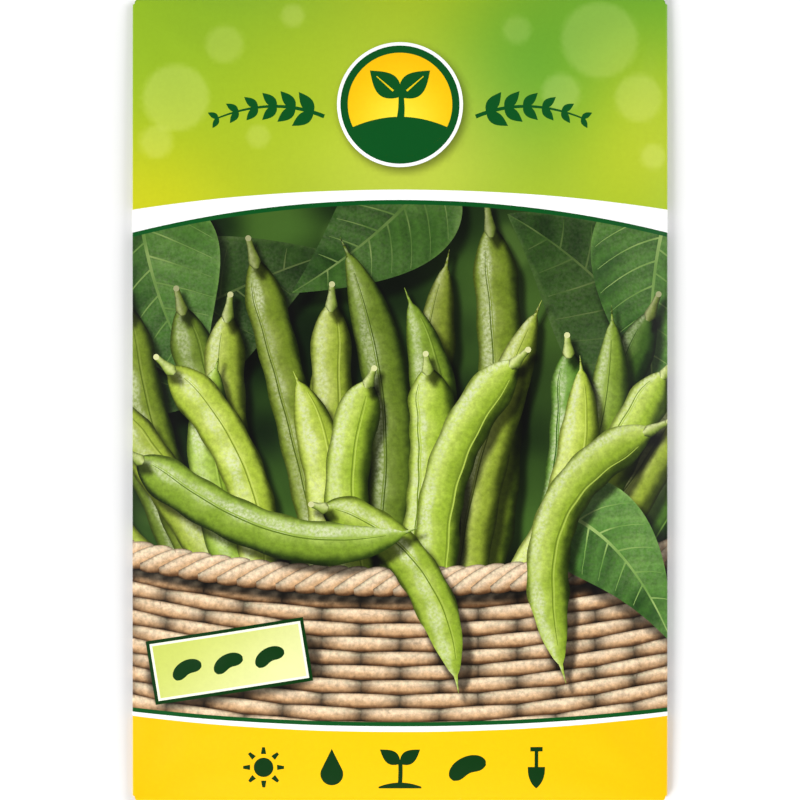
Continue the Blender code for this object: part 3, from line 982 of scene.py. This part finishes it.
def fine_grain(nodes, links, scale, detail):
    """Random grain in the material, so many times to the metre."""
    place = nodes.new("ShaderNodeTexCoord")
    noise = nodes.new("ShaderNodeTexNoise")
    noise.inputs["Scale"].default_value = scale
    noise.inputs["Detail"].default_value = detail
    links.new(place.outputs["Object"], noise.inputs["Vector"])
    return noise


def worked_out(nodes, links, operation, *terms):
    """The result of a sum on sockets and plain numbers."""
    sum_node = nodes.new("ShaderNodeMath")
    sum_node.operation = operation
    for socket, term in zip(sum_node.inputs, terms):
        if isinstance(term, float):
            socket.default_value = term
        else:
            links.new(term, socket)
    return sum_node.outputs["Value"]


def rescaled(nodes, links, value, *limits):
    """A value moved to another range: from low, from high, to low, to high."""
    scale_node = nodes.new("ShaderNodeMapRange")
    for socket, limit in zip(scale_node.inputs[1:], limits):
        socket.default_value = limit
    links.new(value, scale_node.inputs["Value"])
    return scale_node


def two_shades(nodes, links, noise, dark, pale):
    """A colour that wanders with the grain from dark to pale."""
    shades = nodes.new("ShaderNodeValToRGB")
    shades.color_ramp.elements[0].color = dark
    shades.color_ramp.elements[1].color = pale
    links.new(noise.outputs["Fac"], shades.inputs["Fac"])
    return shades.outputs["Color"]


# Coated paper: satin, with a faint fibre in its surface and ink that is a little uneven
printed, nodes, links, shader = new_material("printed coated paper")
inks_node = nodes.new("ShaderNodeAttribute")
inks_node.attribute_name = "ink"
touch_node = nodes.new("ShaderNodeAttribute")
touch_node.attribute_name = "touch"
amounts = nodes.new("ShaderNodeSeparateColor")
links.new(touch_node.outputs["Color"], amounts.inputs["Color"])

# The pictured pods, leaves and willow are finely mottled
speckle = fine_grain(nodes, links, 1000.0, 5.0)
speckle.inputs["Roughness"].default_value = 0.65
swing = worked_out(nodes, links, "SUBTRACT", speckle.outputs["Fac"], 0.5)
depth = worked_out(nodes, links, "MULTIPLY_ADD", amounts.outputs["Red"], 1.7, 0.12)
uneven = nodes.new("ShaderNodeVectorMath")
uneven.operation = "SCALE"
links.new(inks_node.outputs["Color"], uneven.inputs[0])
links.new(worked_out(nodes, links, "MULTIPLY_ADD", swing, depth, 1.0), uneven.inputs["Scale"])

# The pods' highlights are pale and broken up into small flecks
flecks = fine_grain(nodes, links, 1700.0, 3.0)
broken = rescaled(nodes, links, flecks.outputs["Fac"], 0.36, 0.64, 0.15, 1.0)
shining = amounts.outputs["Green"]
gleam = worked_out(nodes, links, "MULTIPLY", shining, broken.outputs["Result"])
printed_colour = nodes.new("ShaderNodeMix")
printed_colour.data_type = "RGBA"
printed_colour.inputs["B"].default_value = (0.72, 0.77, 0.50, 1)
links.new(gleam, printed_colour.inputs["Factor"])
links.new(uneven.outputs["Vector"], printed_colour.inputs["A"])
links.new(printed_colour.outputs["Result"], shader.inputs["Base Color"])

fibre = fine_grain(nodes, links, 700.0, 4.0)
satin = rescaled(nodes, links, fibre.outputs["Fac"], 0.0, 1.0, 0.27, 0.36)
links.new(satin.outputs["Result"], shader.inputs["Roughness"])
relief = nodes.new("ShaderNodeBump")
relief.inputs["Strength"].default_value = 0.06
relief.inputs["Distance"].default_value = 0.0002
links.new(fibre.outputs["Fac"], relief.inputs["Height"])
links.new(relief.outputs["Normal"], shader.inputs["Normal"])
shader.inputs["Specular IOR Level"].default_value = 0.25
sheet_mesh.materials.append(printed)

# Uncoated white inside and cut edges
plain, nodes, links, shader = new_material("plain white paper")
fibre = fine_grain(nodes, links, 900.0, 5.0)
white = two_shades(nodes, links, fibre, (0.72, 0.70, 0.65, 1), (0.86, 0.85, 0.81, 1))
links.new(white, shader.inputs["Base Color"])
shader.inputs["Roughness"].default_value = 0.8
sheet_mesh.materials.append(plain)

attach(packet, "root")
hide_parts("paper_packet")

# Bean seeds, loose inside the packet
# Dry beans, cream with a darker eye in the hollow side. Each is a smooth copy of its solid.
bean_skin, nodes, links, shader = new_material("dry bean skin")
eye_node = nodes.new("ShaderNodeAttribute")
eye_node.attribute_name = "eye"
mottle = fine_grain(nodes, links, 350.0, 4.0)
cream = two_shades(nodes, links, mottle, (0.62, 0.52, 0.36, 1), (0.85, 0.78, 0.62, 1))
eye_mix = nodes.new("ShaderNodeMix")
eye_mix.data_type = "RGBA"
eye_mix.inputs["B"].default_value = (0.12, 0.06, 0.03, 1)
links.new(eye_node.outputs["Fac"], eye_mix.inputs["Factor"])
links.new(cream, eye_mix.inputs["A"])
links.new(eye_mix.outputs["Result"], shader.inputs["Base Color"])
shader.inputs["Roughness"].default_value = 0.42

for name in beans_in_frame:
    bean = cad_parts[name].copy()
    bean.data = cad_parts[name].data.copy()
    bean.name = name.replace("bean_seed", "dry_bean")
    bpy.context.collection.objects.link(bean)
    bpy.ops.object.select_all(action="DESELECT")
    bean.select_set(True)
    bpy.context.view_layer.objects.active = bean
    bpy.ops.object.mode_set(mode="EDIT")
    bpy.ops.mesh.select_all(action="SELECT")
    bpy.ops.mesh.remove_doubles(threshold=1e-6)
    bpy.ops.object.mode_set(mode="OBJECT")
    finer = bean.modifiers.new("finer", "SUBSURF")
    finer.levels = finer.render_levels = 1
    bpy.ops.object.modifier_apply(modifier=finer.name)
    bpy.ops.object.shade_smooth()
    bean.data.materials.clear()
    bean.data.materials.append(bean_skin)
    spots_3d = np.array([v.co for v in bean.data.vertices])
    centre = spots_3d.mean(axis=0)
    flat_spots = (spots_3d - centre)[:, :2]
    long_way = np.linalg.svd(flat_spots, full_matrices=False)[2][0]
    cross_way = np.array([-long_way[1], long_way[0]])
    far_out = abs(flat_spots @ long_way) > 0.005
    if flat_spots[far_out].mean(axis=0) @ cross_way < 0:
        cross_way = -cross_way
    eye_place = centre[:2] + cross_way * (flat_spots @ cross_way).max()
    from_eye = spots_3d[:, :2] - eye_place
    away = np.hypot(from_eye @ long_way / 2.2, (spots_3d[:, 2] - centre[2]) * 1.6)
    on_side = from_eye @ cross_way > -0.0012
    eye = bean.data.attributes.new("eye", "FLOAT", "POINT")
    eye.data.foreach_set("value", ease((0.0011 - away) / 0.0006) * on_side)
    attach(bean, "root")
    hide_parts(name)

# Floor
# A plain, pale and matt surface that the packet lies on. It isn't part of the packet.
bpy.ops.mesh.primitive_plane_add(size=4.0, location=(0, 0, 0))
floor = bpy.context.active_object
floor.name = "floor"
pale_floor, nodes, links, shader = new_material("pale floor")
shader.inputs["Base Color"].default_value = (0.93, 0.93, 0.93, 1)
shader.inputs["Roughness"].default_value = 0.9
shader.inputs["Specular IOR Level"].default_value = 0.1
floor.data.materials.append(pale_floor)

# Light
# Two large soft lamps low at the sides and an even pale surround, brighter near the horizon.
# The lamps stand where the coated paper doesn't mirror them into a usual view.
world = bpy.data.worlds.new("surround")
bpy.context.scene.world = world
world.use_nodes = True
nodes, links = world.node_tree.nodes, world.node_tree.links
sky_place = nodes.new("ShaderNodeTexCoord")
sky_split = nodes.new("ShaderNodeSeparateXYZ")
links.new(sky_place.outputs["Generated"], sky_split.inputs["Vector"])
sky_level = rescaled(nodes, links, sky_split.outputs["Z"], 0.30, 0.95, 0.85, 0.22)
sky_level.interpolation_type = "SMOOTHSTEP"
links.new(sky_level.outputs["Result"], nodes["Background"].inputs["Strength"])
nodes["Background"].inputs["Color"].default_value = (1, 1, 1, 1)
for name, place, size, power in (
    ("key", (-1.44, -1.40, 1.24), 1.2, 48.0),
    ("fill", (1.90, 0.80, 1.20), 1.6, 32.0),
):
    lamp = bpy.data.lights.new(name, "AREA")
    lamp.size = size
    lamp.energy = power
    holder = bpy.data.objects.new(name, lamp)
    bpy.context.collection.objects.link(holder)
    holder.location = place
    aim = -holder.location.normalized()
    holder.rotation_euler = aim.to_track_quat("-Z", "Y").to_euler()

# Camera
# Straight above the packet, which fills the frame from top to bottom.
CAMERA_AWAY, CUT_OFF = 1.0, 0.0005
camera_data = bpy.data.cameras.new("camera")
camera_data.sensor_width = 36.0
camera_data.lens = camera_data.sensor_width * CAMERA_AWAY / (PACKET_LENGTH - CUT_OFF)
camera = bpy.data.objects.new("camera", camera_data)
camera.location = (0.0, 0.0, CAMERA_AWAY + SIDE_HEIGHT)
bpy.context.collection.objects.link(camera)
bpy.context.scene.camera = camera
bpy.context.scene.view_settings.view_transform = "Standard"
